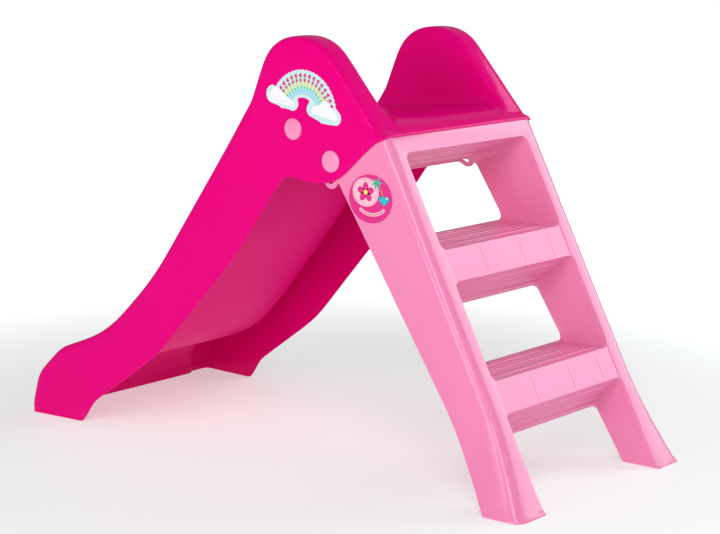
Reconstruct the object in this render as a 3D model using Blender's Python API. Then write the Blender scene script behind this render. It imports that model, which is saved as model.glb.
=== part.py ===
"""Toddler slide with a three-step ladder: two thin-walled plastic mouldings joined by four push-in pins.

Metres, +Z up. The slide's exit points to -X, the ladder stands at +X, and all is symmetric about Y = 0,
and the origin lies on the floor at the middle of its length.
"""

import math

import bmesh
import bpy
from mathutils import Vector

# Overall sizes
FOOT_X = 0.554  # rear face of the ladder's feet on the floor
NOSE_X = -0.554  # front of the slide's exit
RAIL_TOP_Z = 0.720  # highest point of the two hand rails
DECK_Z = 0.590  # surface that the child sits on
HALF_WIDTH = 0.2075  # outer face of the slide's skirts beside the deck
EXIT_HALF_WIDTH = 0.236  # the same at the exit

# Walls and gaps
SLIDE_WALL = 0.0032
LADDER_WALL = 0.0032
FIT_GAP = 0.0004  # between the slide's skirts and the ladder inside them
SEAT_GAP = 0.0003  # under a pin's head or a sticker
BELOW = 0.020  # how far the skirts and legs run below the floor before they are cut level
PAST = 0.060  # how far a cutter runs past what it cuts

# Hand rails
RAIL_WIDTH = 0.053
RAIL_OUTER_R = 0.012
RAIL_INNER_R = 0.009
CHANNEL_R = 0.014  # between the chute's floor and its side walls
WALL_DRAFT = 0.003
RAIL_TOP_REAR_X = 0.126  # rear and front ends of the rail's top, before its bends
RAIL_TOP_FRONT_X = 0.024
APRON_DROP = 0.024  # from the deck down to the lower edge of the bead
DECK_LIP = 0.002
BEAD_H = 0.005  # bead along the slide's rear edge, level with the ladder's rear face
BEAD_STEP = 0.0035  # rise of the sloping step from the bead to the faces set back above it
RAIL_SETBACK = 0.0095
APRON_SETBACK = 0.0045
STATION_LEAST = 0.0013
STATION_MOST = 0.042
STATION_HEEL = 0.012  # where the skirts come down to the floor
HEEL_X = (-0.475, -0.345)

# Chute: points of the floor and of the rail's top edge, each with the radius of its bend
DECK_FRONT_X = 0.004
CHUTE_BREAK_Z = 0.378
RUNOUT_X = -0.395
RUNOUT_Z = 0.100
NOSE_SETBACK = 0.012  # the front wall stands this far behind the noses of the side walls
NOSE_START_X = -0.480
FLOOR_NOSE_LEAD = 0.010  # the floor turns down this far behind the rails
SKIRT_NOSE_LAG = 0.40
REAR_RUN = 0.056  # length of rail beside the rear apron
REAR_BLEND = 0.022  # extra width of the soft corner between the apron and the rails
REAR_BLEND_SHARE = 0.13

# Ladder
LEAN = 0.513  # forward run of the ladder's rear face for each unit of height
FRONT_LEAN = 0.648  # the same for its open front
FOOT_DEPTH = 0.068
FOOT_HALF_WIDTH = 0.238
FLARE_Z = 0.150  # the feet spread below this height
CORNER_R = 0.016
FOOT_LIP = 0.003
LADDER_RUN = 0.300  # how far forward the ladder is lofted before its side view trims it
FOOT_LIP_Z = 0.005
OPENING_HALF_WIDTH = 0.168
TREAD_Z = (0.195, 0.392)
RISER_H = 0.047
UNDER_SLOPES = (1.18, 0.83, 0.41)  # fall of each opening's upper wall for each unit forward
TOP_OPENING_Z = 0.541
OPENING_CORNER_R = 0.014
LADDER_TOP_GAP = 0.0035  # between the top of the ladder's arms and the underside of the deck
BEAD_GAP = 0.0006  # between the ladder's rear top edge and the slide's bead
ARM_CLEARANCE = 0.0148  # from the rail's rear face to the rear of the ladder's arms
RISER_SINK = 0.0012  # the risers lie this far in from the legs' rear faces
RISER_MARGIN = 0.0035  # and start this far in from the openings' sides
GROOVE_W = 0.0050
GROOVE_D = 0.0012
GROOVES = 4
GROOVE_MARGIN = 0.012

# Connector pins: two on each side
PINS = {"upper": (0.078, 0.569), "lower": (0.158, 0.522)}
PIN_HEAD_R = 0.0175
PIN_HEAD_T = 0.0030
PIN_DOME = 0.0016
PIN_SHANK_R = 0.0058
PIN_CLEARANCE = 0.0003
PIN_BARB = 0.0005
PIN_BARB_L = 0.0050
PIN_HOLE_R = PIN_SHANK_R + PIN_BARB + PIN_CLEARANCE
ARM_R = 0.0215  # plastic of the ladder's arm around a pin
EYE_R = 0.0135
EYE_HOLE_R = 0.0053
EYE_DROP = 0.032  # below the lower pin
EYE_FORWARD = 0.004

# Stickers
STICKER_T = 0.0004
RAINBOW_AT = (0.098, 0.595)  # centre of the arch
RAINBOW_R = 0.0718
RAINBOW_INNER_R = 0.0265
RAINBOW_ENDS = (12, 148)  # degrees, right and left
SCALLOPS = 22
SCALLOP_D = 0.0016
BADGE_AT = (0.237, 0.468)
BADGE_R = (0.0462, 0.0411)

SIDES = {"left": 1, "right": -1}


def clear_scene():
    for obj in list(bpy.data.objects):
        bpy.data.objects.remove(obj, do_unlink=True)


def make_material(name, color, roughness):
    material = bpy.data.materials.new(name)
    material.use_nodes = True
    shader = material.node_tree.nodes["Principled BSDF"]
    shader.inputs["Base Color"].default_value = (*color, 1.0)
    shader.inputs["Roughness"].default_value = roughness
    shader.inputs["Metallic"].default_value = 0.0
    return material


def make_object(name, bm, material=None, cutter=False):
    """A new object from a bmesh, with its normals outward."""
    bm.normal_update()
    bmesh.ops.recalc_face_normals(bm, faces=bm.faces)
    mesh = bpy.data.meshes.new(name)
    bm.to_mesh(mesh)
    bm.free()
    obj = bpy.data.objects.new(name, mesh)
    bpy.context.scene.collection.objects.link(obj)
    if material:
        mesh.materials.append(material)
        mesh.shade_smooth()
        mesh.set_sharp_from_angle(angle=math.radians(32))
    if cutter:
        obj.hide_render = True
        obj.display_type = "WIRE"
    return obj


def boolean(obj, other, operation):
    modifier = obj.modifiers.new(operation.title() + " " + other.name, "BOOLEAN")
    modifier.operation = operation
    modifier.solver = "EXACT"
    modifier.object = other


def rounded(points, steps=4):
    """A path of (x, z) through corners given as (x, z, bend radius), with an arc at each corner."""
    path = [Vector(points[0][:2])]
    for before, corner, after in zip(points, points[1:], points[2:]):
        at = Vector(corner[:2])
        back = (Vector(before[:2]) - at).normalized()
        ahead = (Vector(after[:2]) - at).normalized()
        half = back.angle(ahead) / 2
        reach = corner[2] / math.tan(half)
        room = 0.49 * min((Vector(before[:2]) - at).length, (Vector(after[:2]) - at).length)
        reach = min(reach, room)
        radius = reach * math.tan(half)
        if radius < 1e-6:
            path.append(at)
            continue
        centre = at + (back + ahead).normalized() * radius / math.sin(half)
        first = at + back * reach - centre
        last = at + ahead * reach - centre
        turn = first.angle_signed(last)
        for i in range(steps + 1):
            angle = -turn * i / steps
            c, s = math.cos(angle), math.sin(angle)
            path.append(centre + Vector((first.x * c - first.y * s, first.x * s + first.y * c)))
    path.append(Vector(points[-1][:2]))
    return path


def lengths_along(path):
    total = [0.0]
    for a, b in zip(path, path[1:]):
        total.append(total[-1] + (b - a).length)
    return total


def point_along(path, share):
    """The point at this share of the path's length, and the path's normal there, on its left."""
    total = lengths_along(path)
    at = min(max(share, 0.0), 1.0) * total[-1]
    for i in range(len(path) - 1):
        if at <= total[i + 1] or i == len(path) - 2:
            step = path[i + 1] - path[i]
            point = path[i] + step * ((at - total[i]) / step.length)
            return point, step.normalized()


def share_at_x(path, x):
    """The share of the path's length where it passes this x. x falls all along the path."""
    total = lengths_along(path)
    for i in range(len(path) - 1):
        if path[i + 1].x <= x <= path[i].x:
            part = (path[i].x - x) / max(path[i].x - path[i + 1].x, 1e-9)
            return (total[i] + part * (total[i + 1] - total[i])) / total[-1]
    return 0.0 if x > path[0].x else 1.0


def smooth_step(value):
    value = min(max(value, 0.0), 1.0)
    return value * value * (3 - 2 * value)


def ladder_rear_x(z):
    return FOOT_X - LEAN * z


def bead_bottom():
    return DECK_Z - APRON_DROP


def bead(setback):
    """Corners of the bead on the slide's rear edge and of the step up to the face set back above it."""
    bottom = bead_bottom()
    top = bottom + BEAD_H
    return [
        (ladder_rear_x(bottom), bottom, 0),
        (ladder_rear_x(top), top, 0.004),
        (ladder_rear_x(top + BEAD_STEP) - setback, top + BEAD_STEP, 0.003),
    ]


def rail_rear_slope():
    """Forward run of the rail's rear face for each unit of rise."""
    foot_x, foot_z, _ = bead(RAIL_SETBACK)[-1]
    return (foot_x - RAIL_TOP_REAR_X) / (RAIL_TOP_Z - foot_z)


def rail_rear_x(z):
    foot_x, foot_z, _ = bead(RAIL_SETBACK)[-1]
    return foot_x - rail_rear_slope() * (z - foot_z)


def rail_path():
    """The top edge of a side rail, from the rear bead over the hand rail and down the chute to the exit."""
    return rounded(bead(RAIL_SETBACK) + [
        (RAIL_TOP_REAR_X, RAIL_TOP_Z, 0.085),
        (RAIL_TOP_FRONT_X, RAIL_TOP_Z, 0.078),
        (-0.022, RAIL_TOP_Z - 0.110, 0.070),
        (-0.250, 0.287, 0.620),
        (-0.365, 0.174, 0.420),
        (-0.480, 0.131, 0.085),
        (-0.538, 0.077, 0.070),
        (NOSE_X, 0.020, 0.050),
        (NOSE_X, -0.006, 0),
    ], 5)


def floor_path():
    """The deck and the chute's floor along the middle, from the rear bead to the foot of the front wall."""
    top = DECK_Z + DECK_LIP
    rim_x = ladder_rear_x(top) - APRON_SETBACK
    return rounded(bead(APRON_SETBACK) + [
        (rim_x, top, 0.006),
        (rim_x - 0.030, DECK_Z, 0.020),
        (DECK_FRONT_X, DECK_Z - 0.010, 0.062),
        (-0.114, CHUTE_BREAK_Z, 0.400),
        (-0.275, 0.195, 0.500),
        (-0.345, 0.128, 0.200),
        (RUNOUT_X - 0.030, RUNOUT_Z - 0.004, 0.120),
        (-0.500, 0.085, 0.060),
        (NOSE_X + NOSE_SETBACK, 0.040, 0.045),
        (NOSE_X + NOSE_SETBACK, -0.006, 0),
    ], 4)


def skirt_path():
    """The lower edge of the slide's skirts, from the apron round the pins and down to the exit."""
    bottom = bead_bottom()
    return rounded([
        (ladder_rear_x(bottom) - 0.012, bottom - 0.006, 0),
        (0.226, 0.541, 0.080),
        (0.168, 0.487, 0.050),
        (0.105, 0.483, 0.060),
        (0.058, 0.494, 0.016),
        (-0.055, 0.346, 0.900),
        (-0.240, 0.146, 0.300),
        (-0.395, 0.040, 0.030),
        (-0.421, 0.000, 0.022),
        (-0.445, -0.006, 0.020),
        (-0.470, -BELOW, 0.010),
        (NOSE_X, -BELOW, 0),
    ], 3)


def half_width(x):
    """Outer half width of the slide at a station along it: it widens toward the exit."""
    share = (-0.080 - x) / (-0.080 - NOSE_X)
    return HALF_WIDTH + (EXIT_HALF_WIDTH - HALF_WIDTH) * min(max(share, 0.0), 1.0)


def station_shares(rail):
    """Shares of the rail path where the slide's sections stand."""
    total = lengths_along(rail)
    kept = [0.0]
    for at in total[1:-1]:
        if at - kept[-1] < STATION_LEAST:
            continue
        start = kept[-1]
        heel = HEEL_X[0] < point_along(rail, at / total[-1])[0].x < HEEL_X[1]
        parts = math.ceil((at - start) / (STATION_HEEL if heel else STATION_MOST))
        kept += [start + (at - start) * i / parts for i in range(1, parts + 1)]
    return [at / total[-1] for at in kept] + [1.0]


def floor_point(rail, floor, share):
    """The point of the floor that a section with this share of the rail ends at."""
    rail_length, floor_length = lengths_along(rail)[-1], lengths_along(floor)[-1]
    bead_run = BEAD_H + BEAD_STEP + RAIL_SETBACK
    at = share * rail_length
    if at < bead_run:
        even = bead_run - (RAIL_SETBACK - APRON_SETBACK) / 2
        return point_along(floor, at * even / bead_run / floor_length)[0]
    nose_share = share_at_x(rail, NOSE_START_X)
    nose_floor = share_at_x(floor, NOSE_START_X + FLOOR_NOSE_LEAD)
    if at < REAR_RUN:
        first = bead_run - (RAIL_SETBACK - APRON_SETBACK) / 2
        rear_x = point_along(rail, REAR_RUN / rail_length)[0].x
        last = share_at_x(floor, rear_x) * floor_length
        part = (at - bead_run) / (REAR_RUN - bead_run)
        return point_along(floor, (first + (last - first) * part) / floor_length)[0]
    if share > nose_share:
        part = (share - nose_share) / (1 - nose_share)
        return point_along(floor, nose_floor + (1 - nose_floor) * part)[0]
    rear_share = REAR_RUN / rail_length
    part = (share - rear_share) / (nose_share - rear_share)
    x = point_along(rail, share)[0].x + FLOOR_NOSE_LEAD * part
    return point_along(floor, share_at_x(floor, x))[0]


def skirt_point(rail, skirt, share):
    """The point of the skirt's lower edge that the same section starts at."""
    rear_share = REAR_RUN / lengths_along(rail)[-1]
    if share < rear_share:
        rear_x = point_along(rail, rear_share)[0].x
        return point_along(skirt, share_at_x(skirt, rear_x) * share / rear_share)[0]
    top_x = point_along(rail, share)[0].x
    nose = max(0.0, NOSE_START_X - top_x)
    return point_along(skirt, share_at_x(skirt, top_x + nose * SKIRT_NOSE_LAG))[0]


def slide_section(rail, floor, skirt, share):
    """Half a section across the slide, as (x, y, z) from the skirt's edge to the middle of the floor."""
    top, along = point_along(rail, share)
    if share * lengths_along(rail)[-1] < REAR_RUN:
        along = Vector((-rail_rear_slope(), 1)).normalized()
    up = Vector((along.y, -along.x))
    base = floor_point(rail, floor, share)
    edge = skirt_point(rail, skirt, share)
    outer = half_width(top.x)
    inner = outer - RAIL_WIDTH
    rise = top - base
    over = min(RAIL_OUTER_R, 0.45 * (top - edge).length)
    under = min(RAIL_INNER_R, 0.45 * rise.length)
    fillet = min(CHANNEL_R, 0.50 * rise.length)
    spread = REAR_BLEND * (1 - smooth_step(share / REAR_BLEND_SHARE))
    section = [(edge.x, half_width(edge.x), edge.y)]
    for i in range(4):
        angle = math.pi / 2 * i / 3
        at = top - up * over * (1 - math.sin(angle))
        section.append((at.x, outer - RAIL_OUTER_R * (1 - math.cos(angle)), at.y))
    for i in range(4):
        angle = math.pi / 2 * i / 3
        at = top - rise.normalized() * under * (1 - math.cos(angle))
        section.append((at.x, inner + RAIL_INNER_R * (1 - math.sin(angle)), at.y))
    for i in range(4):
        angle = math.pi / 2 * i / 3
        at = base + rise.normalized() * fillet * (1 - math.sin(angle))
        reach = (CHANNEL_R + spread) * (1 - math.cos(angle))
        section.append((at.x, inner - WALL_DRAFT - reach, at.y))
    section.append((base.x, 0.0, base.y))
    return section


def build_slide(material):
    """The slide moulding: one sheet that forms the deck, the chute, both rails and the skirts."""
    rail, floor, skirt = rail_path(), floor_path(), skirt_path()
    bm = bmesh.new()
    rows = []
    for share in station_shares(rail):
        half = slide_section(rail, floor, skirt, share)
        across = half + [(x, -y, z) for x, y, z in reversed(half[:-1])]
        rows.append([bm.verts.new(point) for point in across])
    for near, far in zip(rows, rows[1:]):
        for i in range(len(near) - 1):
            bm.faces.new((near[i], near[i + 1], far[i + 1], far[i]))
    bm.normal_update()
    bmesh.ops.recalc_face_normals(bm, faces=bm.faces)
    middle = len(rows[0]) // 2
    deck = next(face for face in bm.faces if rows[16][middle] in face.verts)
    if deck.normal.z < 0:
        bmesh.ops.reverse_faces(bm, faces=bm.faces)
    mesh = bpy.data.meshes.new("slide_body")
    bm.to_mesh(mesh)
    bm.free()
    slide = bpy.data.objects.new("slide_body", mesh)
    bpy.context.scene.collection.objects.link(slide)
    mesh.materials.append(material)
    mesh.shade_smooth()
    mesh.set_sharp_from_angle(angle=math.radians(32))
    wall = slide.modifiers.new("Wall", "SOLIDIFY")
    wall.thickness = SLIDE_WALL
    wall.offset = -1
    wall.use_even_offset = True
    boolean(slide, box_cutter("floor_cut", (-1.0, -0.5, -0.2), (1.0, 0.5, 0.0)), "DIFFERENCE")
    for name, (x, z) in PINS.items():
        boolean(slide, rod_cutter("slide_hole_" + name, x, z, PIN_HOLE_R), "DIFFERENCE")
    return slide


def box_cutter(name, low, high):
    bm = bmesh.new()
    bmesh.ops.create_cube(bm, size=1.0)
    for vert in bm.verts:
        vert.co = [low[i] + (vert.co[i] + 0.5) * (high[i] - low[i]) for i in range(3)]
    return make_object(name, bm, cutter=True)


def rod_cutter(name, x, z, radius):
    """A rod right across the object, along Y."""
    bm = bmesh.new()
    bmesh.ops.create_cone(bm, cap_ends=True, segments=24, radius1=radius, radius2=radius, depth=1.0)
    for vert in bm.verts:
        vert.co = (x + vert.co.x, vert.co.z, z + vert.co.y)
    return make_object(name, bm, cutter=True)


def prism_cutter(name, outline, half, cutter=True):
    """A closed prism with this (x, z) outline, from -half to half along Y."""
    bm = bmesh.new()
    near = [bm.verts.new((x, -half, z)) for x, z in outline]
    far = [bm.verts.new((x, half, z)) for x, z in outline]
    bm.faces.new(near)
    bm.faces.new(list(reversed(far)))
    for i in range(len(outline)):
        j = (i + 1) % len(outline)
        bm.faces.new((near[i], far[i], far[j], near[j]))
    return make_object(name, bm, cutter=cutter)


def ladder_half_width(z):
    """Outer half width of the ladder: it fits inside the slide's skirts and its feet spread."""
    upper = HALF_WIDTH - SLIDE_WALL - FIT_GAP
    spread = max(0.0, 1 - z / FLARE_Z)
    return upper + (FOOT_HALF_WIDTH - upper) * spread ** 1.55


def ladder_loft(name, inset, low, high, front):
    """A leaning box with rounded rear corners and spreading feet, inset by a wall on its rear and sides."""
    bm = bmesh.new()
    heights = [low]
    if inset == 0:
        heights += [FOOT_LIP_Z, FOOT_LIP_Z + 0.003]
    heights += [FLARE_Z * i / 5 for i in range(1, 6)] + [high]
    tilt = math.sqrt(1 + LEAN * LEAN)
    rings = []
    for z in heights:
        lip = FOOT_LIP if inset == 0 and z <= FOOT_LIP_Z else 0.0
        rear = ladder_rear_x(z) - inset * tilt + lip
        half = ladder_half_width(max(z, 0.0)) - inset
        radius = CORNER_R - inset
        outline = [(front, half)]
        for i in range(5):
            angle = math.pi / 2 * i / 4
            outline.append((rear - radius * (1 - math.sin(angle)), half - radius * (1 - math.cos(angle))))
        outline += [(x, -y) for x, y in reversed(outline)]
        rings.append([bm.verts.new((x, y, z)) for x, y in outline])
    for lower, upper in zip(rings, rings[1:]):
        for i in range(len(lower)):
            j = (i + 1) % len(lower)
            bm.faces.new((lower[i], lower[j], upper[j], upper[i]))
    bm.faces.new(rings[0])
    bm.faces.new(rings[-1])
    return bm


def opening_outline(index, grow):
    """The side view of one opening: a level tread below and a wall above that falls forward."""
    slope = UNDER_SLOPES[index]
    fall = math.sqrt(1 + slope * slope)
    lower = -0.050 if index == 0 else TREAD_Z[index - 1] - grow
    upper = TOP_OPENING_Z if index == 2 else TREAD_Z[index] - RISER_H
    rear = ladder_rear_x(upper)
    behind, ahead = PAST, 2.5 * PAST
    top_rear = upper + grow * fall + slope * behind
    top_front = upper + grow * fall - slope * ahead
    return [
        (rear + behind + LADDER_RUN, lower),
        (rear + behind + LADDER_RUN, top_rear),
        (rear + behind, top_rear),
        (rear - ahead, top_front),
        (rear - ahead, lower),
    ]


def opening_cutter(name, index, grow):
    """An opening between the ladder's legs, with rounded corners in the rear view."""
    outline = opening_outline(index, grow)
    half = OPENING_HALF_WIDTH + grow
    radius = OPENING_CORNER_R + grow
    bm = bmesh.new()
    lower, upper_rear, upper_front = outline[0][1], outline[2], outline[3]
    slope = (upper_rear[1] - upper_front[1]) / (upper_rear[0] - upper_front[0])
    stations = []
    for x in (outline[0][0], upper_rear[0], upper_front[0]):
        top = upper_rear[1] - slope * (upper_rear[0] - min(x, upper_rear[0]))
        stations.append((x, top))
    low_radius = radius if index else 0.0
    rings = []
    for x, top in stations:
        corner = min(radius, 0.45 * (top - lower))
        ring = []
        for i in range(5):
            angle = math.pi / 2 * i / 4
            ring.append((half - corner * (1 - math.cos(angle)), top - corner * (1 - math.sin(angle))))
        ring += [(-y, z) for y, z in reversed(ring)]
        if low_radius:
            base = min(low_radius, 0.45 * (top - lower))
            low_ring = []
            for i in range(5):
                angle = math.pi / 2 * i / 4
                y = -half + base * (1 - math.cos(angle))
                low_ring.append((y, lower + base * (1 - math.sin(angle))))
            ring += low_ring + [(-y, z) for y, z in reversed(low_ring)]
        else:
            ring += [(-half, lower), (half, lower)]
        rings.append([bm.verts.new((x, y, z)) for y, z in ring])
    for near, far in zip(rings, rings[1:]):
        for i in range(len(near)):
            j = (i + 1) % len(near)
            bm.faces.new((near[i], near[j], far[j], far[i]))
    bm.faces.new(rings[0])
    bm.faces.new(rings[-1])
    return make_object(name, bm, cutter=True)


def ladder_top_z():
    return DECK_Z - SLIDE_WALL - LADDER_TOP_GAP


def ladder_side_outline():
    """The side view of the ladder: leg, arm around the two pins, and the eye below the lower pin."""
    top = ladder_top_z()
    upper = Vector(PINS["upper"])
    lower = Vector(PINS["lower"])
    down = lower - upper
    down.normalize()
    away = Vector((down.y, -down.x))
    eye = lower + Vector((-EYE_FORWARD, -EYE_DROP))
    edge_z = bead_bottom() - BEAD_GAP
    arm_x = rail_rear_x(edge_z) - ARM_CLEARANCE
    behind_x = FOOT_X + PAST
    outline = [
        Vector((behind_x, -BELOW)),
        Vector((behind_x, edge_z + LEAN * (behind_x - ladder_rear_x(edge_z)))),
        Vector((arm_x, edge_z - LEAN * (ladder_rear_x(edge_z) - arm_x))),
        Vector((arm_x, edge_z)),
        Vector((rail_rear_x(top) - ARM_CLEARANCE, top)),
    ]
    start = math.asin(min(1.0, (top - upper.y) / ARM_R))
    first = math.pi - start
    last = math.atan2(away.y, away.x) % (2 * math.pi)
    for i in range(7):
        angle = first + (last - first) * i / 6
        outline.append(upper + ARM_R * Vector((math.cos(angle), math.sin(angle))))
    outline.append(lower + away * ARM_R)
    for i in range(9):
        angle = math.radians(125 + 225 * i / 8)
        outline.append(eye + EYE_R * Vector((math.cos(angle), math.sin(angle))))
    low = outline[-1].y - 0.002
    outline.append(Vector((FOOT_X - FOOT_DEPTH - FRONT_LEAN * low, low)))
    outline.append(Vector((FOOT_X - FOOT_DEPTH + FRONT_LEAN * BELOW, -BELOW)))
    return [(point.x, point.y) for point in outline]


def build_ladder(material):
    """The ladder moulding: a shell open toward the slide, with three openings that leave two steps."""
    front = -LADDER_RUN
    high = DECK_Z + PAST
    ladder = make_object("ladder_body", ladder_loft("ladder_body", 0.0, 0.0, high, front), material)
    core = make_object(
        "ladder_core",
        ladder_loft("ladder_core", LADDER_WALL, LADDER_WALL, high + PAST, front - PAST),
        cutter=True,
    )
    for index in range(3):
        boolean(core, opening_cutter(f"reveal_{index}", index, LADDER_WALL), "DIFFERENCE")
    boolean(ladder, core, "DIFFERENCE")
    for index in range(3):
        boolean(ladder, opening_cutter(f"opening_{index}", index, 0.0), "DIFFERENCE")
    boolean(ladder, groove_cutter(), "DIFFERENCE")
    boolean(ladder, riser_cutter(), "DIFFERENCE")
    side = prism_cutter("ladder_side", ladder_side_outline(), FOOT_HALF_WIDTH + PAST)
    boolean(ladder, side, "INTERSECT")
    for name, (x, z) in PINS.items():
        boolean(ladder, rod_cutter("ladder_hole_" + name, x, z, PIN_HOLE_R), "DIFFERENCE")
    eye_x, eye_z = PINS["lower"][0] - EYE_FORWARD, PINS["lower"][1] - EYE_DROP
    boolean(ladder, rod_cutter("eye_hole", eye_x, eye_z, EYE_HOLE_R), "DIFFERENCE")
    return ladder


def groove_cutter():
    """The anti-slip grooves across both treads."""
    bm = bmesh.new()
    for z in TREAD_Z:
        rear = ladder_rear_x(z) - GROOVE_MARGIN
        front = FOOT_X - FOOT_DEPTH - FRONT_LEAN * z + GROOVE_MARGIN
        for i in range(GROOVES):
            x = rear - GROOVE_W / 2 + (front - rear + GROOVE_W) * i / (GROOVES - 1)
            made = bmesh.ops.create_cube(bm, size=1.0)["verts"]
            for vert in made:
                vert.co = (
                    x + vert.co.x * GROOVE_W,
                    vert.co.y * 2 * (OPENING_HALF_WIDTH - OPENING_CORNER_R - GROOVE_MARGIN / 2),
                    z + vert.co.z * 2 * GROOVE_D,
                )
    return make_object("grooves", bm, cutter=True)


def riser_cutter():
    """A slab over the risers' rear faces: it leaves them a little lower than the legs on both sides."""
    tilt = math.sqrt(1 + LEAN * LEAN)
    low = TREAD_Z[0] - RISER_H - PAST / 2
    high = TREAD_Z[1] + PAST / 2
    outline = []
    for z, out in ((low, PAST), (high, PAST), (high, -RISER_SINK * tilt), (low, -RISER_SINK * tilt)):
        outline.append((ladder_rear_x(z) + out, z))
    return prism_cutter("riser_slab", outline, OPENING_HALF_WIDTH - RISER_MARGIN)


def pin_profile():
    """Half section of a push-in pin, as (radius, distance from the seat), from dome to tip."""
    head = [
        (0.0, PIN_HEAD_T + PIN_DOME),
        (PIN_HEAD_R * 0.55, PIN_HEAD_T + PIN_DOME * 0.72),
        (PIN_HEAD_R - 0.0018, PIN_HEAD_T * 0.93),
        (PIN_HEAD_R, PIN_HEAD_T * 0.45),
        (PIN_HEAD_R, 0.0),
        (PIN_SHANK_R, 0.0),
    ]
    grip = SLIDE_WALL + FIT_GAP + LADDER_WALL + 2 * SEAT_GAP
    shank = [
        (PIN_SHANK_R, -grip),
        (PIN_SHANK_R + PIN_BARB, -grip - 0.0004),
        (PIN_SHANK_R - PIN_BARB, -grip - PIN_BARB_L),
        (0.0, -grip - PIN_BARB_L),
    ]
    return head + shank


def pin_mesh():
    profile = pin_profile()
    segments = 24
    bm = bmesh.new()
    first = bm.verts.new((0, 0, profile[0][1]))
    last = bm.verts.new((0, 0, profile[-1][1]))
    rings = []
    for radius, height in profile[1:-1]:
        ring = []
        for i in range(segments):
            angle = 2 * math.pi * i / segments
            ring.append(bm.verts.new((radius * math.cos(angle), radius * math.sin(angle), height)))
        rings.append(ring)
    for i in range(segments):
        j = (i + 1) % segments
        bm.faces.new((first, rings[0][i], rings[0][j]))
        for a, b in zip(rings, rings[1:]):
            bm.faces.new((a[i], b[i], b[j], a[j]))
        bm.faces.new((rings[-1][i], last, rings[-1][j]))
    return bm


def build_pins(material):
    """Four pins, each with its origin on its own axis at its seat on the slide's skirt."""
    for side, sign in SIDES.items():
        for name, (x, z) in PINS.items():
            pin = make_object(f"pin_{name}_{side}", pin_mesh(), material)
            pin.location = (x, sign * (HALF_WIDTH + SEAT_GAP), z)
            pin.rotation_euler = (-sign * math.pi / 2, 0, 0)


def arc(centre, radius, start, end, count):
    """Points along an arc between two angles in degrees."""
    points = []
    for i in range(count + 1):
        angle = math.radians(start + (end - start) * i / count)
        points.append((centre[0] + radius * math.cos(angle), centre[1] + radius * math.sin(angle)))
    return points


def rainbow_outline():
    """An arch with a scalloped outer edge and a cloud at each end, about the arch's centre."""
    right, left = RAINBOW_ENDS
    points = []
    for i in range(SCALLOPS * 3 + 1):
        angle = math.radians(right + (left - right) * i / (SCALLOPS * 3))
        dip = SCALLOP_D * (1 - abs(math.sin(math.pi * i / 3)) / math.sin(math.pi / 3))
        points.append(((RAINBOW_R - dip) * math.cos(angle), (RAINBOW_R - dip) * math.sin(angle)))
    points += arc((-0.0640, 0.0290), 0.0150, 80, 255, 7)
    points += arc((-0.0420, 0.0195), 0.0130, 225, 285, 4)
    points += arc((-0.0215, 0.0155), 0.0120, 240, 385, 6)
    points += arc((0, 0), RAINBOW_INNER_R, 114, 56, 6)
    points += arc((0.0200, 0.0080), 0.0115, 130, 250, 6)
    points += arc((0.0440, -0.0015), 0.0120, 225, 275, 3)
    points += arc((0.0690, -0.0030), 0.0120, 260, 400, 6)
    return points


def oval_outline(radii, count=48):
    return [
        (radii[0] * math.cos(2 * math.pi * i / count), radii[1] * math.sin(2 * math.pi * i / count))
        for i in range(count)
    ]


def build_sticker(name, outline, at, face_y, sign, material):
    """A thin sheet with this outline, lying on the outer face at face_y."""
    inside = sign * (face_y + SEAT_GAP)
    outside = sign * (face_y + SEAT_GAP + STICKER_T)
    bm = bmesh.new()
    back = [bm.verts.new((at[0] + x, inside, at[1] + z)) for x, z in outline]
    front = [bm.verts.new((at[0] + x, outside, at[1] + z)) for x, z in outline]
    bm.faces.new(back)
    bm.faces.new(list(reversed(front)))
    for i in range(len(outline)):
        j = (i + 1) % len(outline)
        bm.faces.new((back[i], front[i], front[j], back[j]))
    return make_object(name, bm, material)


def build_stickers(sky, badge):
    ladder_face = HALF_WIDTH - SLIDE_WALL - FIT_GAP
    for side, sign in SIDES.items():
        build_sticker(f"rainbow_sticker_{side}", rainbow_outline(), RAINBOW_AT, HALF_WIDTH, sign, sky)
        build_sticker(f"badge_sticker_{side}", oval_outline(BADGE_R), BADGE_AT, ladder_face, sign, badge)


def main():
    clear_scene()
    magenta = make_material("magenta_plastic", (0.78, 0.002, 0.20), 0.22)
    pink = make_material("light_pink_plastic", (0.87, 0.26, 0.48), 0.25)
    cap = make_material("cap_plastic", (0.87, 0.28, 0.48), 0.25)
    sky = make_material("rainbow_print", (0.55, 0.78, 0.80), 0.35)
    badge = make_material("badge_print", (0.78, 0.01, 0.28), 0.35)
    build_slide(magenta)
    build_ladder(pink)
    build_pins(cap)
    build_stickers(sky, badge)


main()
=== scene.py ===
import math

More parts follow.
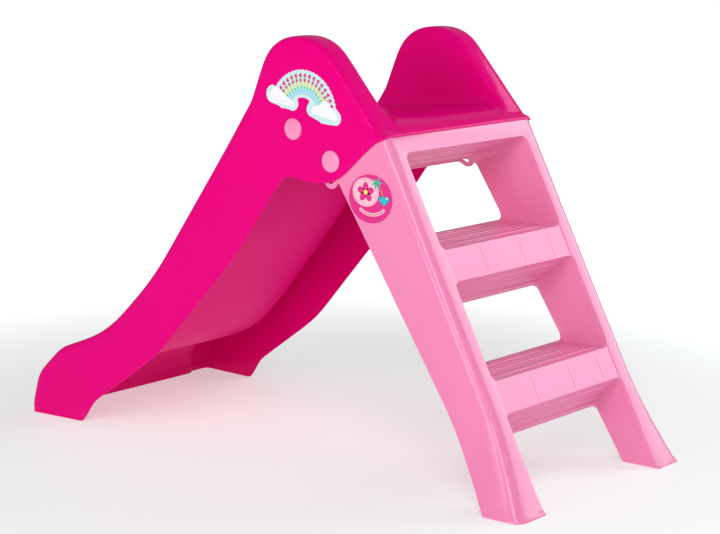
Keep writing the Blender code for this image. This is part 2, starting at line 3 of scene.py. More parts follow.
import bpy
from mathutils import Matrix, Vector


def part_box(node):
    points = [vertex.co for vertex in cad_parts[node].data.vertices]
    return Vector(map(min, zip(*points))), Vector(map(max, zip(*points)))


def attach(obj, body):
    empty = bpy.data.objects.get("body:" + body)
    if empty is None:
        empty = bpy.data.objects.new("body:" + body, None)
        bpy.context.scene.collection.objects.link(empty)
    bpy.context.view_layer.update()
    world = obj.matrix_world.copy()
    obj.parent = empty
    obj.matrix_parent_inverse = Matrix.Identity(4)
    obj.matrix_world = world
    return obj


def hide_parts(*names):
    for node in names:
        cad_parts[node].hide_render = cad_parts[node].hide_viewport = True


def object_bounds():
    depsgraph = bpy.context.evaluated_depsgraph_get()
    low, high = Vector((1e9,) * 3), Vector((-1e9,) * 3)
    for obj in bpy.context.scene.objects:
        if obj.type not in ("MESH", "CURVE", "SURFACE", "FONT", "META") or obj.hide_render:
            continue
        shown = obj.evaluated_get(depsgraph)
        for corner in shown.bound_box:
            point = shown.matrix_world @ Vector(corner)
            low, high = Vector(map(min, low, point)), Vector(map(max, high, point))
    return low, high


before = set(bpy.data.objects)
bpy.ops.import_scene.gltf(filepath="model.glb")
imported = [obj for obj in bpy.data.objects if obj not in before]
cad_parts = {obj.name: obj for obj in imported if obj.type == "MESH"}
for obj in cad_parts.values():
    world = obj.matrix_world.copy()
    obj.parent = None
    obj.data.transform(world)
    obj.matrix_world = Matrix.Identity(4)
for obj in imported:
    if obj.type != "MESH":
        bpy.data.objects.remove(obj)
cadLow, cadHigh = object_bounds()
sides = {"left": 1, "right": -1}  # left is +Y
print("frame loaded:", len(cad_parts), "nodes")


def deselectAll():
    if bpy.context.mode != "OBJECT":
        bpy.ops.object.mode_set(mode="OBJECT")
    bpy.ops.object.select_all(action="DESELECT")


def activate(piece):
    deselectAll()
    piece.select_set(True)
    bpy.context.view_layer.objects.active = piece


def editMode():
    bpy.ops.object.mode_set(mode="EDIT")


def objectMode():
    bpy.ops.object.mode_set(mode="OBJECT")


def pickFaces(piece, wanted):  # wanted(centre, normal) says which faces are selected
    objectMode()
    mesh = piece.data
    for vertex in mesh.vertices:
        vertex.select = False
    for edge in mesh.edges:
        edge.select = False
    count = 0
    for face in mesh.polygons:
        face.select = bool(wanted(face.center, face.normal))
        count += face.select
    editMode()
    bpy.ops.mesh.select_mode(type="FACE")
    return count


def applyModifier(piece, kind, **settings):
    activate(piece)
    modifier = piece.modifiers.new(kind.title(), kind)
    for name, value in settings.items():
        setattr(modifier, name, value)
    bpy.ops.object.modifier_apply(modifier=modifier.name)


def smooth(piece, degrees=32):
    activate(piece)
    bpy.ops.object.shade_smooth_by_angle(angle=math.radians(degrees))


def weldedCopy(nodeName, pieceName):
    # a copy of a CAD node with its corners merged and its triangles paired into quads
    piece = bpy.data.objects.new(pieceName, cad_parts[nodeName].data.copy())
    bpy.context.scene.collection.objects.link(piece)
    piece.data.materials.clear()
    activate(piece)
    editMode()
    bpy.ops.mesh.select_all(action="SELECT")
    bpy.ops.mesh.remove_doubles(threshold=0.00002)
    bpy.ops.mesh.tris_convert_to_quads(
        face_threshold=math.radians(25), shape_threshold=math.radians(70))
    objectMode()
    return piece


def finished(piece, body, slotName, finish, *replacedNodes):
    piece.data.materials.clear()
    piece.data.materials.append(finish)
    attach(piece, body)
    if replacedNodes:
        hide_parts(*replacedNodes)


class Signal:  # one shader value, so that sums on it read as sums
    def __init__(self, finish, socket):
        self.finish = finish
        self.socket = socket

    def math(self, operation, other, swapped=False):
        first, second = (other, self) if swapped else (self, other)
        return self.finish.add("ShaderNodeMath", {"operation": operation}, {0: first, 1: second})

    def __add__(self, other):
        return self.math("ADD", other)

    def __radd__(self, other):
        return self.math("ADD", other, True)

    def __sub__(self, other):
        return self.math("SUBTRACT", other)

    def __rsub__(self, other):
        return self.math("SUBTRACT", other, True)

    def __mul__(self, other):
        return self.math("MULTIPLY", other)

    def __rmul__(self, other):
        return self.math("MULTIPLY", other, True)

    def __pow__(self, other):
        return self.math("POWER", other)

    def rising(self, low, high):  # 0 below low, 1 above high, smooth between
        return self.finish.add(
            "ShaderNodeMapRange", {"interpolation_type": "SMOOTHSTEP", "clamp": True},
            {"Value": self, "From Min": low, "From Max": high, "To Min": 0.0, "To Max": 1.0}, "Result")


class Finish:  # one material and its nodes
    def __init__(self, name):
        self.material = bpy.data.materials.new(name)
        self.material.use_nodes = True
        self.tree = self.material.node_tree
        self.shader = self.tree.nodes["Principled BSDF"]
        self.place = self.add("ShaderNodeTexCoord", {}, {}, "Object")

    def add(self, kind, settings, inputs, output=0):
        node = self.tree.nodes.new(kind)
        for name, value in settings.items():
            setattr(node, name, value)
        for name, value in inputs.items():
            self.feed(node.inputs[name], value)
        return Signal(self, node.outputs[output])

    def feed(self, socket, value):
        if isinstance(value, Signal):
            self.tree.links.new(value.socket, socket)
        else:
            socket.default_value = value

    def set(self, name, value):
        self.feed(self.shader.inputs[name], value)

    def stretched(self, scale):
        return self.add("ShaderNodeMapping", {}, {"Vector": self.place, "Scale": scale}, "Vector")

    def noise(self, scale, detail, rough, vector=None):
        return self.add("ShaderNodeTexNoise", {}, {
            "Vector": vector or self.place, "Scale": scale, "Detail": detail, "Roughness": rough}, "Fac")

    def blendColours(self, amount, first, second):
        return self.add("ShaderNodeMix", {"data_type": "RGBA", "clamp_factor": True}, {
            0: amount, 6: first, 7: second}, 2)

    def bump(self, height, distance):
        return self.add("ShaderNodeBump", {}, {"Height": height, "Distance": distance}, "Normal")

    def part(self, vector, axis):  # the X, Y or Z of a vector
        return self.add("ShaderNodeSeparateXYZ", {}, {"Vector": vector}, axis)


def rgba(colour):
    return (*colour, 1.0)


def plasticFinish(name, look):
    # glossy moulded plastic: drifting colour, faint mould grain, rubbed and scuffed where it is used
    finish = Finish(name)
    z = finish.part(finish.place, "Z")
    upward = finish.part(finish.add("ShaderNodeNewGeometry", {}, {}, "Normal"), "Z")
    drift = finish.noise(look["driftScale"], 4.0, 0.55)
    mottle = finish.noise(look["mottleScale"], 5.0, 0.6)
    base = finish.blendColours(drift.rising(0.30, 0.70), rgba(look["colour"]), rgba(look["shade"]))
    tread = upward.rising(0.45, 0.80)
    lines = finish.noise(1.0, 2.0, 0.5, finish.stretched(look["scratchStretch"]))
    patch = finish.noise(look["patchScale"], 3.0, 0.6)
    scuffs = lines.rising(0.60, 0.72) * patch.rising(0.42, 0.66) * tread
    underside = (0.0 - upward).rising(0.05, 0.45)  # less polished than the faces that show
    low = 1.0 - z.rising(0.004, look["dirtHeight"])
    dirt = low * mottle.rising(0.40, 0.72)
    worn = finish.blendColours(scuffs * look["scuffTint"], base, rgba(look["scuffColour"]))
    dirty = finish.blendColours(dirt * look["dirtAmount"], worn, rgba(look["dirtColour"]))
    finish.set("Base Color", dirty)
    rough = look["roughness"] + (mottle - 0.5) * look["roughDrift"] + scuffs * look["scuffRough"]
    finish.set("Roughness", rough + dirt * look["dirtRough"] + underside * look["undersideRough"])
    grain = finish.noise(look["grainScale"], 2.0, 0.5)
    wave = finish.noise(look["waveScale"], 1.0, 0.4)
    height = grain * look["grainDepth"] + wave * look["waveDepth"]
    height = height - lines.rising(0.62, 0.74) * tread * look["scratchDepth"]
    finish.set("Normal", finish.bump(height, look["bumpDistance"]))
    finish.set("Specular IOR Level", look["specular"])
    finish.set("Specular Tint", rgba(look["glossTint"]))
    return finish.material


def filmFinish(name, look):
    # printed film: slightly cloudy ink under a clear glossy face
    finish = Finish(name)
    cloud = finish.noise(look["cloudScale"], 4.0, 0.6)
    fibre = finish.noise(look["fibreScale"], 2.0, 0.5)
    ink = finish.blendColours(cloud.rising(0.35, 0.68), rgba(look["colour"]), rgba(look["shade"]))
    finish.set("Base Color", ink)
    finish.set("Roughness", look["roughness"] + (cloud - 0.5) * look["roughDrift"])
    finish.set("Normal", finish.bump(fibre * 0.5 + cloud * 0.5, look["bumpDistance"]))
    finish.set("Coat Weight", look["coat"])
    finish.set("Coat Roughness", look["coatRoughness"])
    return finish.material


# camera, light and floor
viewValues = {
    "place": (2.190, -2.609, 0.910),
    "tilt": 79.8996,
    "turn": 39.3965,
    "lens": 98.43,
    "sensor": 36.0,
}

lightValues = {
    # name: direction from the slide, distance, width, height, glow
    "frontSoftbox": ((0.02, -0.98, 0.12), 3.6, 2.2, 1.1, 4.6),
    "keySoftbox": ((0.47, -0.66, 0.58), 3.6, 1.25, 2.1, 6.1),
    "rearPanel": ((0.489, 0.770, 0.34), 3.2, 2.2, 1.9, 3.6),
    "ladderSoftbox": ((0.95, -0.20, 0.22), 3.5, 2.0, 1.4, 1.3),
}

stageValues = {
    "skyGlow": 0.25, "backdropGlow": 1.0,
    "floorSize": 40.0, "floorColour": (0.575, 0.62, 0.617), "floorDrop": 0.0006,
    "floorGlow": 0.46, "floorFade": (0.70, 1.95),  # the glow rises to white this far from the slide
    "bounceGlow": (0.42, 0.35, 0.37),  # what the slide itself sees of that glow
}


def buildCamera():
    bpy.ops.object.camera_add(
        location=viewValues["place"],
        rotation=(math.radians(viewValues["tilt"]), 0, math.radians(viewValues["turn"])))
    camera = bpy.context.object
    camera.data.sensor_width = viewValues["sensor"]
    camera.data.lens = viewValues["lens"]
    bpy.context.scene.camera = camera


def buildLights():
    middle = (cadLow + cadHigh) / 2
    for name, (direction, distance, width, height, glow) in lightValues.items():
        place = middle + Vector(direction).normalized() * distance
        bpy.ops.object.light_add(type="AREA", location=place)
        lamp = bpy.context.object
        lamp.name = name
        lamp.data.shape = "RECTANGLE"
        lamp.data.size = width
        lamp.data.size_y = height
        lamp.data.energy = glow * math.pi * width * height  # watts for this brightness
        lamp.rotation_euler = (middle - place).to_track_quat("-Z", "Y").to_euler()


def buildSky():
    # a dim even light on the slide, and a white backdrop behind it
    sky = bpy.data.worlds.new("whiteStudio")
    bpy.context.scene.world = sky
    sky.use_nodes = True
    tree = sky.node_tree
    light = tree.nodes["Background"]
    light.inputs["Strength"].default_value = stageValues["skyGlow"]
    light.inputs["Color"].default_value = (1.0, 1.0, 1.0, 1.0)
    backdrop = tree.nodes.new("ShaderNodeBackground")
    backdrop.inputs["Strength"].default_value = stageValues["backdropGlow"]
    backdrop.inputs["Color"].default_value = (1.0, 1.0, 1.0, 1.0)
    ray = tree.nodes.new("ShaderNodeLightPath")
    mix = tree.nodes.new("ShaderNodeMixShader")
    tree.links.new(ray.outputs["Is Camera Ray"], mix.inputs["Fac"])
    tree.links.new(light.outputs[0], mix.inputs[1])
    tree.links.new(backdrop.outputs[0], mix.inputs[2])
    tree.links.new(mix.outputs[0], tree.nodes["World Output"].inputs["Surface"])


def buildFloor():
    deselectAll()
    bpy.ops.mesh.primitive_plane_add(
        size=stageValues["floorSize"], location=(0, 0, -stageValues["floorDrop"]))
    floor = bpy.context.object
    floor.name = "studio_floor"
    finish = Finish("paleFloor")
    x, y = (finish.part(finish.place, axis) for axis in ("X", "Y"))
    away = (x * x + y * y) ** 0.5
    far = away.rising(*stageValues["floorFade"])
    cloud = finish.noise(0.6, 2.0, 0.5)
    colour = stageValues["floorColour"]
    finish.set("Base Color", finish.blendColours(cloud, rgba(colour), rgba([c * 0.97 for c in colour])))
    finish.set("Roughness", 0.55 + (cloud - 0.5) * 0.05)
    finish.set("Specular IOR Level", 0.2)
    # only the camera sees the white glow, and the slide is lit by a dimmer one
    camera = finish.add("ShaderNodeLightPath", {}, {}, "Is Camera Ray")
    glow = stageValues["floorGlow"]
    white = finish.blendColours(far, rgba((glow, glow, glow)), rgba((1.0, 1.0, 1.0)))
    finish.set("Emission Color", finish.blendColours(camera, rgba(stageValues["bounceGlow"]), white))
    finish.set("Emission Strength", 1.0)
    floor.data.materials.append(finish.material)


bpy.context.scene.view_settings.view_transform = "Standard"
buildCamera()
buildLights()
buildSky()
buildFloor()
print("camera, lights and floor ready")


# two moulded plastics, and a paler one for the pins
slideLook = {
    "colour": (0.80, 0.0008, 0.205), "shade": (0.77, 0.0006, 0.193),
    "driftScale": 2.3, "mottleScale": 34.0,
    "scratchStretch": (9.0, 620.0, 9.0), "patchScale": 7.0,
    "scuffTint": 0.16, "scuffColour": (0.86, 0.08, 0.34), "scuffRough": 0.16,
    "dirtHeight": 0.050, "dirtAmount": 0.08, "dirtColour": (0.42, 0.10, 0.16),
    "roughness": 0.13, "roughDrift": 0.06,
    "grainScale": 1500.0, "grainDepth": 0.30, "waveScale": 14.0, "waveDepth": 0.8,
    "dirtRough": 0.18, "undersideRough": 0.30, "scratchDepth": 0.12,
    "bumpDistance": 0.00003, "specular": 0.09, "glossTint": (1.0, 0.30, 0.70),
}
ladderLook = dict(slideLook)
ladderLook.update({
    "colour": (0.87, 0.255, 0.475), "shade": (0.85, 0.235, 0.455),
    "scratchStretch": (300.0, 22.0, 60.0), "patchScale": 12.0,
    "scuffColour": (0.93, 0.50, 0.68), "dirtColour": (0.50, 0.28, 0.30),
    "roughness": 0.15, "specular": 0.42, "glossTint": (1.0, 0.86, 0.93),
})
pinLook = dict(ladderLook)
pinLook.update({"colour": (0.89, 0.31, 0.52), "shade": (0.87, 0.28, 0.49), "driftScale": 20.0})

slidePlastic = plasticFinish("magentaPlastic", slideLook)
ladderPlastic = plasticFinish("lightPinkPlastic", ladderLook)
pinPlastic = plasticFinish("pinPlastic", pinLook)


slideValues = {"rimRadius": 0.0007, "rimSegments": 2, "sharpAngle": 50}


def softenEdges(piece, values, clamped):
    # rounds the sharp edges, no wider than the faces beside them where it is clamped
    activate(piece)
    editMode()
    bpy.ops.mesh.select_all(action="DESELECT")
    bpy.ops.mesh.select_mode(type="EDGE")
    bpy.ops.mesh.edges_select_sharp(sharpness=math.radians(values["sharpAngle"]))
    bpy.ops.mesh.bevel(
        offset=values["rimRadius"], segments=values["rimSegments"], profile=0.5, affect="EDGES",
        clamp_overlap=clamped)
    objectMode()


def buildSlide():
    slide = weldedCopy("slide_body", "slide_shell")
    softenEdges(slide, slideValues, clamped=False)
    applyModifier(slide, "SUBSURF", levels=1, render_levels=1)
    smooth(slide)
    finished(slide, "frame", "slide_plastic", slidePlastic, "slide_body")
    print("slide moulding:", len(slide.data.polygons), "faces")


buildSlide()


ladderValues = {
    "rimRadius": 0.0011, "rimSegments": 3, "sharpAngle": 28,
    # raised ribs along each tread
    "ribs": 3, "ribWidth": 0.0060, "ribHeight": 0.0022, "ribEnds": 0.012,
    # low ribs under each step, at these shares of its slope
    "ledgeRibs": (0.22, 0.55, 0.80), "ledgeRibWidth": 0.0042, "ledgeRibHeight": 0.0017, "ledgeRibEnds": 0.004,
    # fine raised seams across each riser, sunk this far behind the legs
    "seamPlaces": (-0.070, 0.035, 0.120), "seamWidth": 0.0016, "seamHeight": 0.0004,
    "seamSink": 0.0012, "seamLength": 0.80,
    # a fine raised line down each side of the openings
    "lineInset": 0.0105, "lineWidth": 0.0022, "lineHeight": 0.0012, "lineMargin": 0.016, "lowestLine": 0.030,
}


def buildLadder():
    ladder = weldedCopy("ladder_body", "ladder_shell")
    measured = measureLadder(ladder)
    softenEdges(ladder, ladderValues, clamped=True)
    smooth(ladder, 40)
    finished(ladder, "frame", "ladder_plastic", ladderPlastic, "ladder_body")
    print("ladder moulding:", len(ladder.data.polygons), "faces")
    return measured


def measureLadder(ladder):
    # the rear plane, the treads, the slopes under the steps and the openings' half width, off the mesh
    faces = ladder.data.polygons
    rear = max((f for f in faces if f.normal.x > 0.85 and abs(f.normal.y) < 0.001 and f.area > 0.0005),
               key=lambda f: f.center.dot(f.normal))
    treads = {}
    ledges = {}
    for face in faces:
        corners = [ladder.data.vertices[i].co.copy() for i in face.vertices]
        wide = max(c.y for c in corners) - min(c.y for c in corners)
        if wide < 0.25 or face.area < 0.0008:
            continue
        if face.normal.z > 0.99 and 0.1 < face.center.z < 0.5:
            treads.setdefault(round(face.center.z, 1), []).extend(corners)
        if face.normal.z < -0.3 and face.normal.x > 0.1 and face.center.z > 0.08:
            ledges.setdefault(round(face.center.z, 1), []).extend(corners)
    # the openings' side walls face each other
    walls = [f for f in faces if f.normal.y * f.center.y < -0.9 * abs(f.center.y) and f.area > 0.001]
    wall = max(abs(f.center.y) for f in walls if abs(f.center.y) < 0.18)
    print("openings' half width:", round(wall, 4))
    return {"rear": rear.center.copy(), "rearNormal": rear.normal.copy(),
            "treads": treads, "ledges": ledges, "wall": wall}


def bar(name, centre, size, turn=(0, 0, 0), roundness=0.42):
    # a small bar with rounded edges; its size is given before it is turned
    deselectAll()
    bpy.ops.mesh.primitive_cube_add(size=1, location=centre, rotation=turn)
    piece = bpy.context.object
    piece.name = name
    piece.scale = size
    bpy.ops.object.transform_apply(location=False, rotation=False, scale=True)
    editMode()
    bpy.ops.mesh.select_all(action="SELECT")
    bpy.ops.mesh.bevel(
        offset=min(size) * roundness, segments=3, profile=0.5, affect="EDGES")
    objectMode()
    bpy.ops.object.transform_apply(location=True, rotation=True, scale=False)
    return piece


def joined(pieces, name):
    deselectAll()
    for piece in pieces:
        piece.select_set(True)
    bpy.context.view_layer.objects.active = pieces[0]
    if len(pieces) > 1:
        bpy.ops.object.join()
    pieces[0].name = name
    return pieces[0]


def buildTreadRibs(measured):
    value = ladderValues
    for number, (_, corners) in enumerate(sorted(measured["treads"].items()), 1):
        top = max(c.z for c in corners)
        rear, front = max(c.x for c in corners), min(c.x for c in corners)
        half = max(c.y for c in corners) - value["ribEnds"]
        ribs = []
        for i in range(value["ribs"]):
            x = front + (rear - front) * (i + 0.75) / (value["ribs"] + 0.5)
            ribs.append(bar("tread_rib", (x, 0, top), (value["ribWidth"], 2 * half, value["ribHeight"])))
        ribs = joined(ribs, "tread_ribs_%d" % number)
        smooth(ribs, 60)
        finished(ribs, "frame", "ladder_plastic", ladderPlastic)


def buildLedgeRibs(measured):
    value = ladderValues
    for number, (_, corners) in enumerate(sorted(measured["ledges"].items()), 1):
        high = max(corners, key=lambda c: c.z)
        low = min(corners, key=lambda c: c.z)
        half = min(abs(high.y), abs(low.y)) - value["ledgeRibEnds"]
        slope = math.atan2(high.z - low.z, high.x - low.x)
        ribs = []
        for share in value["ledgeRibs"]:
            x = high.x + (low.x - high.x) * share
            z = high.z + (low.z - high.z) * share
            size = (value["ledgeRibWidth"], 2 * half, 2 * value["ledgeRibHeight"])
            ribs.append(bar("ledge_rib", (x, 0, z), size, (0, -slope, 0)))
        ribs = joined(ribs, "ledge_ribs_%d" % number)
        smooth(ribs, 60)
        finished(ribs, "frame", "ladder_plastic", ladderPlastic)


def rearPoint(measured, z, inward):
    # a point of the rear plane at this height, moved into the plastic
    normal = measured["rearNormal"]
    x = measured["rear"].x - (z - measured["rear"].z) * normal.z / normal.x
    return Vector((x, 0, z)) - normal * inward


def buildRiserSeams(measured):
    value = ladderValues
    normal = measured["rearNormal"]
    lean = math.atan2(normal.z, normal.x)
    seams = []
    ledgeTops = [max(c.z for c in corners) for corners in measured["ledges"].values()]
    for corners in measured["treads"].values():
        top = max(c.z for c in corners)
        under = max(z for z in ledgeTops if z < top)
        middle = rearPoint(measured, (top + under) / 2, value["seamSink"])
        long = (top - under) * value["seamLength"] / math.cos(lean)
        for y in value["seamPlaces"]:
            place = (middle.x, y, middle.z)
            size = (2 * value["seamHeight"], value["seamWidth"], long)
            seams.append(bar("riser_seam", place, size, (0, -lean, 0)))
    seams = joined(seams, "riser_seams")
    smooth(seams, 60)
    finished(seams, "frame", "ladder_plastic", ladderPlastic)


def buildWindowLines(measured):
    # a little in from the rear face
    value = ladderValues
    normal = measured["rearNormal"]
    lean = math.atan2(normal.z, normal.x)
    half = measured["wall"]
    treadTops = sorted(max(c.z for c in corners) for corners in measured["treads"].values())
    floors = [value["lowestLine"]] + treadTops
    tops = sorted(max(c.z for c in corners) for corners in measured["ledges"].values())
    lines = []
    for low, high in zip(floors, tops):
        low += value["lineMargin"]
        high -= value["lineMargin"]
        middle = rearPoint(measured, (low + high) / 2, value["lineInset"])
        for side in sides.values():
            size = (value["lineWidth"], 2 * value["lineHeight"], (high - low) / math.cos(lean))
            lines.append(bar("window_line", (middle.x, side * half, middle.z), size, (0, -lean, 0)))
    lines = joined(lines, "window_lines")
    smooth(lines, 60)
    finished(lines, "frame", "ladder_plastic", ladderPlastic)


measured = buildLadder()
buildTreadRibs(measured)
buildLedgeRibs(measured)
buildRiserSeams(measured)
buildWindowLines(measured)
print("ladder details:", len(measured["treads"]), "treads,", len(measured["ledges"]), "ledges")


pinValues = {
    "segments": 64, "capDepth": 0.0028, "edgeRadius": 0.0012, "edgeRise": 0.0004,
    "domeSteps": ((0.0022, 0.0004), (0.0050, 0.0006), (0.0050, 0.0004)),  # how far in, and how far up
    "shankRadius": 0.0058, "barbLead": 0.0006, "barbLength": 0.0050, "barbWidth": 1.09, "tipTaper": 0.84,
    "cornerRadius": 0.0004,
}


def buildPin(level, side):
    # a domed cap on a shank with a barb at its end; made lying on its back, then turned to its side
    node = "pin_%s_%s" % (level, side)
    value = pinValues
    low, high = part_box(node)
    sign = sides[side]
    radius = (high.x - low.x) / 2
    x, z = (low.x + high.x) / 2, (low.z + high.z) / 2
    seat = min(v.co.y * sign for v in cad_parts[node].data.vertices
               if math.hypot(v.co.x - x, v.co.z - z) > radius * 0.99)
    tip = min(low.y * sign, high.y * sign)
    deselectAll()
    bpy.ops.mesh.primitive_cylinder_add(
        vertices=value["segments"], radius=radius, depth=value["capDepth"],
        location=(0, 0, value["capDepth"] / 2))
    pin = bpy.context.object
    pin.name = "pin_cap_%s_%s" % (level, side)
    bpy.ops.object.transform_apply(location=True, rotation=False, scale=False)
    pickFaces(pin, lambda centre, normal: normal.z > 0.9)
    bpy.ops.mesh.inset(thickness=value["edgeRadius"])
    bpy.ops.transform.translate(value=(0, 0, value["edgeRise"]))
    for inward, rise in value["domeSteps"]:
        bpy.ops.mesh.inset(thickness=inward)
        bpy.ops.transform.translate(value=(0, 0, rise))
    objectMode()
    pickFaces(pin, lambda centre, normal: normal.z < -0.9)
    bpy.ops.mesh.inset(thickness=radius - value["shankRadius"])
    plainLength = seat - tip - value["barbLead"] - value["barbLength"]
    for step, grow in ((plainLength, 1.0), (value["barbLead"], value["barbWidth"]),
                       (value["barbLength"], value["tipTaper"])):
        bpy.ops.mesh.extrude_region_move(TRANSFORM_OT_translate={"value": (0, 0, -step)})
        bpy.ops.transform.resize(value=(grow, grow, 1.0))
    objectMode()
    applyModifier(pin, "BEVEL", width=value["cornerRadius"], segments=2, limit_method="ANGLE",
                  angle_limit=math.radians(40))
    pin.rotation_euler = (-sign * math.pi / 2, 0, 0)
    pin.location = (x, sign * seat, z)
    activate(pin)
    bpy.ops.object.transform_apply(location=True, rotation=True, scale=False)
    smooth(pin, 35)
    finished(pin, "%s_%s_pin" % (level, side), "pin_plastic", pinPlastic, node)


for side in sides:
    for level in ("upper", "lower"):
        buildPin(level, side)
print("pins ready")


# the printed films: a rainbow of hearts between two clouds, and an oval badge

def arc(centre, radius, start, end, count):
    # points along an arc between two angles in degrees
    points = []
    for i in range(count + 1):
        angle = math.radians(start + (end - start) * i / count)
        points.append((centre[0] + radius * math.cos(angle), centre[1] + radius * math.sin(angle)))
    return points


def band(centre, inner, outer, start, end, count=36):
    return arc(centre, outer, start, end, count) + arc(centre, inner, end, start, count)


def oval(centre, wide, tall, count=48):
    return [(centre[0] + wide * math.cos(2 * math.pi * i / count),
             centre[1] + tall * math.sin(2 * math.pi * i / count)) for i in range(count)]


def heart(centre, wide, tall, turn=0.0, count=24):
    # its point is at the bottom before it is turned
    points = []
    for i in range(count):
        t = 2 * math.pi * i / count
        x = math.sin(t) ** 3 * wide / 2
        z = (13 * math.cos(t) - 5 * math.cos(2 * t) - 2 * math.cos(3 * t) - math.cos(4 * t)) / 29 * tall
        x, z = x * math.cos(turn) - z * math.sin(turn), x * math.sin(turn) + z * math.cos(turn)
        points.append((centre[0] + x, centre[1] + z))
    return points


def leaf(root, length, width, turn, bend, count=8):
    # a pointed leaf that curves to one side towards its tip
    points = []
    for edge in (1, -1):
        steps = range(count + 1) if edge > 0 else range(count - 1, 0, -1)
        for i in steps:
            share = i / count
            along = share * length
            across = edge * width * math.sin(math.pi * share ** 0.8) - bend * length * share * share
            points.append((root[0] + along * math.cos(turn) - across * math.sin(turn),
                           root[1] + along * math.sin(turn) + across * math.cos(turn)))
    return points


def flatShape(outline, origin, side, face, layer):
    # a filled circle whose corners are set on the outline, in mm, then given the ink's thickness
    deselectAll()
    bpy.ops.mesh.primitive_circle_add(vertices=len(outline), radius=0.01, fill_type="NGON")
    shape = bpy.context.object
    height = face + sides[side] * artValues["layerStep"] * layer / 2
    for vertex, (x, z) in zip(shape.data.vertices, outline):
        vertex.co = (origin[0] + x / 1000, height, origin[1] + z / 1000)
    applyModifier(shape, "SOLIDIFY", thickness=artValues["layerStep"] * layer, offset=0)
    editMode()
    bpy.ops.mesh.select_all(action="SELECT")
    bpy.ops.mesh.normals_make_consistent(inside=False)
    objectMode()
    return shape


artValues = {
    "layerStep": 0.00006, "border": 0.0017,  # ink thickness, and the printed border round each film
    "archCentre": (0.0799, 0.0718),  # from the rainbow film's front and top
    "heartTurn": 9.0, "rainbowStart": 14.0, "rainbowEnd": 150.0,
    # plain bands under the rows, in mm from the arch's centre
    "bands": {"mintInk": (40.6, 45.4), "skyInk": (35.6, 40.6), "purpleInk": (33.0, 34.0)},
    # radius, width, height, first and last place, and which way its hearts point, or 0 for ovals
    "rows": {
        "magentaInk": (62.4, 7.6, 7.4, 0, 15, 1), "coralInk": (54.6, 6.8, 6.2, 1, 15, -1),
        "yellowInk": (48.0, 5.6, 5.0, 1, 14, 0), "greenInk": (42.9, 2.9, 4.4, 1, 14, 0),
        "blueInk": (38.1, 2.8, 2.2, 1, 14, 0),
    },
}
inks = {
    # colour, and colour where the ink is thinner
    "borderInk": ((0.76, 0.78, 0.89), (0.70, 0.75, 0.88)),
    "aquaInk": ((0.50, 0.80, 0.79), (0.56, 0.83, 0.82)),
    "magentaInk": ((0.72, 0.02, 0.21), (0.66, 0.015, 0.18)),
    "coralInk": ((0.66, 0.07, 0.06), (0.60, 0.055, 0.05)),
    "yellowInk": ((0.80, 0.72, 0.09), (0.86, 0.66, 0.12)),
    "greenInk": ((0.04, 0.46, 0.33), (0.06, 0.53, 0.40)),
    "blueInk": ((0.10, 0.48, 0.74), (0.16, 0.55, 0.80)),
    "purpleInk": ((0.28, 0.22, 0.52), (0.33, 0.26, 0.56)),
    "mintInk": ((0.42, 0.80, 0.62), (0.47, 0.83, 0.67)),
    "skyInk": ((0.36, 0.70, 0.86), (0.41, 0.74, 0.88)),
    "whiteInk": ((0.90, 0.90, 0.91), (0.86, 0.86, 0.89)),
    "badgeInk": ((0.76, 0.006, 0.24), (0.72, 0.005, 0.22)),
    "roseInk": ((0.86, 0.28, 0.50), (0.82, 0.25, 0.46)),
    "blushInk": ((0.90, 0.55, 0.60), (0.88, 0.50, 0.57)),
    "tealInk": ((0.01, 0.46, 0.58), (0.015, 0.52, 0.64)),
    "darkTealInk": ((0.01, 0.09, 0.16), (0.012, 0.11, 0.18)),
    "leafInk": ((0.02, 0.42, 0.27), (0.05, 0.55, 0.36)),
    "trunkInk": ((0.60, 0.17, 0.09), (0.66, 0.22, 0.11)),
}
filmLook = {
    "roughness": 0.30, "roughDrift": 0.10, "cloudScale": 160.0, "fibreScale": 2400.0,
    "bumpDistance": 0.00002, "coat": 0.25, "coatRoughness": 0.12,
}
inkFinishes = {}
for name, (colour, shade) in inks.items():
    inkFinishes[name] = filmFinish(name, dict(filmLook, colour=colour, shade=shade))


def cloudRight():
    return (arc((23.5, 7.0), 6.3, 255, 110, 8) + arc((34.0, 10.0), 6.5, 140, 75, 4)
            + arc((47.0, 12.6), 10.6, 150, 12, 10) + arc((61.0, 3.6), 7.6, 75, 10, 4)
            + arc((68.5, -2.6), 5.6, 70, -105, 8))


def cloudLeft():
    return (arc((-66.5, 24.5), 8.4, 250, 125, 7) + arc((-58.5, 31.5), 9.6, 165, 40, 8)
            + arc((-45.0, 25.0), 7.4, 100, 30, 5) + arc((-33.0, 18.5), 7.0, 95, 20, 5)
            + arc((-23.0, 14.5), 5.6, 80, -105, 8))


def buildFilm(node, pieceName, slotName, borderInk, innerInk):
    # the film itself: a copy of the node with a printed border round its front
    film = weldedCopy(node, pieceName)
    side = sides[node.rsplit("_", 1)[1]]
    activate(film)
    editMode()
    bpy.ops.mesh.select_all(action="SELECT")
    bpy.ops.mesh.dissolve_limited(angle_limit=math.radians(0.5))
    objectMode()
    pickFaces(film, lambda centre, normal: normal.y * side > 0.9)
    bpy.ops.mesh.inset(thickness=artValues["border"])
    objectMode()
    chosen = [face.index for face in film.data.polygons if face.select]
    finished(film, "frame", slotName, inkFinishes[borderInk], node)
    film.data.materials.append(inkFinishes[innerInk])
    for index in chosen:
        film.data.polygons[index].material_index = 1
    return film


def printInk(shapes, name, slotName, ink):
    piece = joined(shapes, name)
    finished(piece, "frame", slotName, inkFinishes[ink])


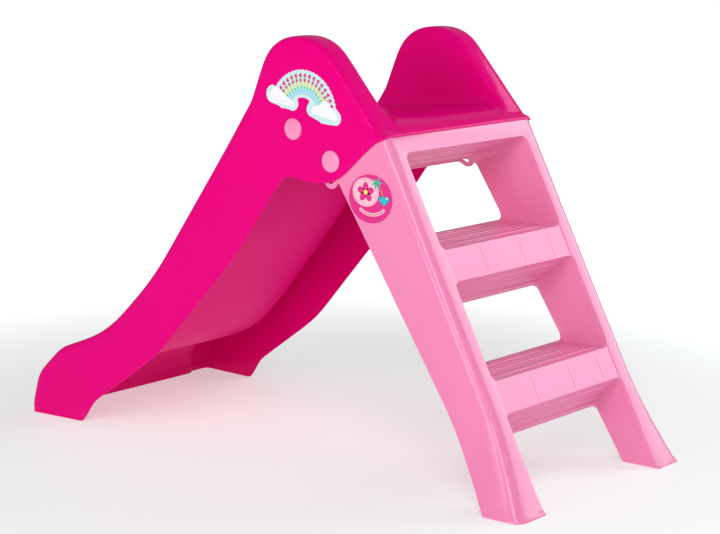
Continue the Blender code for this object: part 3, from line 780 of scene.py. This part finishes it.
def buildRainbow(side):
    node = "rainbow_sticker_%s" % side
    buildFilm(node, "rainbow_film_%s" % side, "rainbow_print", "borderInk", "aquaInk")
    low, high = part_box(node)
    face = high.y if sides[side] > 0 else low.y
    origin = (low.x + artValues["archCentre"][0], high.z - artValues["archCentre"][1])
    start, end = artValues["rainbowStart"], artValues["rainbowEnd"]

    def drawn(outline, layer):
        return flatShape(outline, origin, side, face, layer)

    for ink, (inner, outer) in artValues["bands"].items():
        shape = drawn(band((0, 0), inner, outer, start, end), 1)
        printInk([shape], "%s_band_%s" % (ink[:-3], side), "rainbow_print", ink)
    for ink, (radius, wide, tall, first, last, way) in artValues["rows"].items():
        marks = []
        for i in range(first, last + 1):
            turn = math.radians(start + artValues["heartTurn"] * i)
            centre = (radius * math.cos(turn), radius * math.sin(turn))
            if way:  # these hearts point along the arch
                outline = heart(centre, wide, tall, turn + (math.pi if way > 0 else 0), 16)
            else:
                outline = [(centre[0] + x * math.sin(turn) + z * math.cos(turn),
                            centre[1] - x * math.cos(turn) + z * math.sin(turn))
                           for x, z in oval((0, 0), wide / 2, tall / 2, 14)]
            marks.append(drawn(outline, 2))
        printInk(marks, "%s_row_%s" % (ink[:-3], side), "rainbow_print", ink)
    clouds = [drawn(cloudRight(), 3), drawn(cloudLeft(), 3)]
    printInk(clouds, "clouds_%s" % side, "rainbow_print", "whiteInk")


badgeValues = {
    # places in mm from the film's centre, and half widths and heights
    "middle": (-10.0, 10.0),
    "discs": (("badge_disc_edge", "blushInk", 26.8, 23.2), ("badge_disc_ring", "roseInk", 24.6, 21.2),
              ("badge_disc", "blushInk", 23.6, 20.3)),
    "petals": 5, "petalReach": (9.6, 8.4), "petalSize": (8.0, 5.6), "flowerMiddle": (4.4, 3.9),
    "palmFoot": (27.0, 4.0), "trunkSize": (22.0, 1.7), "trunkTurn": 120,
    "palmTop": (13.0, 25.5), "leafSize": (11.0, 2.0), "leafBend": 0.25,
    "leafTurns": (20, 75, 128, 178, 235, 300),
    "heartPlace": (27.5, -0.5), "heartEdge": (24.4, 18.0), "heartSize": (21.4, 15.4),
    "shinePlace": (33.4, 3.6), "shineSize": (2.3, 1.3),
    # inner and outer radius, and the angles between which each band of the ribbon runs
    "ribbonCentre": (2.0, 14.0), "ribbon": (36.5, 42.0, 232, 312), "ribbonLine": (38.6, 39.9, 236, 308),
}


def buildBadge(side):
    value = badgeValues
    node = "badge_sticker_%s" % side
    buildFilm(node, "badge_film_%s" % side, "badge_print", "roseInk", "badgeInk")
    low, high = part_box(node)
    face = high.y if sides[side] > 0 else low.y
    origin = ((low.x + high.x) / 2, (low.z + high.z) / 2)

    def drawn(outline, layer, ink, name):
        shape = flatShape(outline, origin, side, face, layer)
        printInk([shape], "%s_%s" % (name, side), "badge_print", ink)

    middle = value["middle"]
    for layer, (name, ink, wide, tall) in enumerate(value["discs"], 1):
        drawn(oval(middle, wide, tall), layer, ink, name)
    petals = []
    for i in range(value["petals"]):
        turn = math.radians(90 + 360 / value["petals"] * i)
        centre = (middle[0] + value["petalReach"][0] * math.cos(turn),
                  middle[1] + value["petalReach"][1] * math.sin(turn))
        shape = [(centre[0] + x * math.cos(turn) - z * math.sin(turn),
                  centre[1] + x * math.sin(turn) + z * math.cos(turn))
                 for x, z in oval((0, 0), *value["petalSize"], 24)]
        petals.append(flatShape(shape, origin, side, face, 4))
    printInk(petals, "badge_petals_%s" % side, "badge_print", "badgeInk")
    drawn(oval(middle, *value["flowerMiddle"], 28), 5, "yellowInk", "badge_flower_middle")
    trunk = leaf(value["palmFoot"], *value["trunkSize"], math.radians(value["trunkTurn"]), 0.0)
    drawn(trunk, 4, "trunkInk", "palm_trunk")
    leaves = []
    for i, turn in enumerate(value["leafTurns"]):  # they all droop, to the left or to the right
        bend = -value["leafBend"] if turn > 90 else value["leafBend"]
        outline = leaf(value["palmTop"], *value["leafSize"], math.radians(turn), bend)
        leaves.append(flatShape(outline, origin, side, face, 5 + i % 2))
    printInk(leaves, "palm_leaves_%s" % side, "badge_print", "leafInk")
    drawn(heart(value["heartPlace"], *value["heartEdge"]), 5, "darkTealInk", "badge_heart_edge")
    drawn(heart(value["heartPlace"], *value["heartSize"]), 6, "tealInk", "badge_heart")
    drawn(oval(value["shinePlace"], *value["shineSize"], 20), 7, "whiteInk", "badge_heart_shine")
    drawn(band(value["ribbonCentre"], *value["ribbon"]), 3, "blushInk", "badge_ribbon")
    drawn(band(value["ribbonCentre"], *value["ribbonLine"]), 4, "badgeInk", "badge_ribbon_line")


for side in sides:
    buildRainbow(side)
    buildBadge(side)
print("printed films ready")
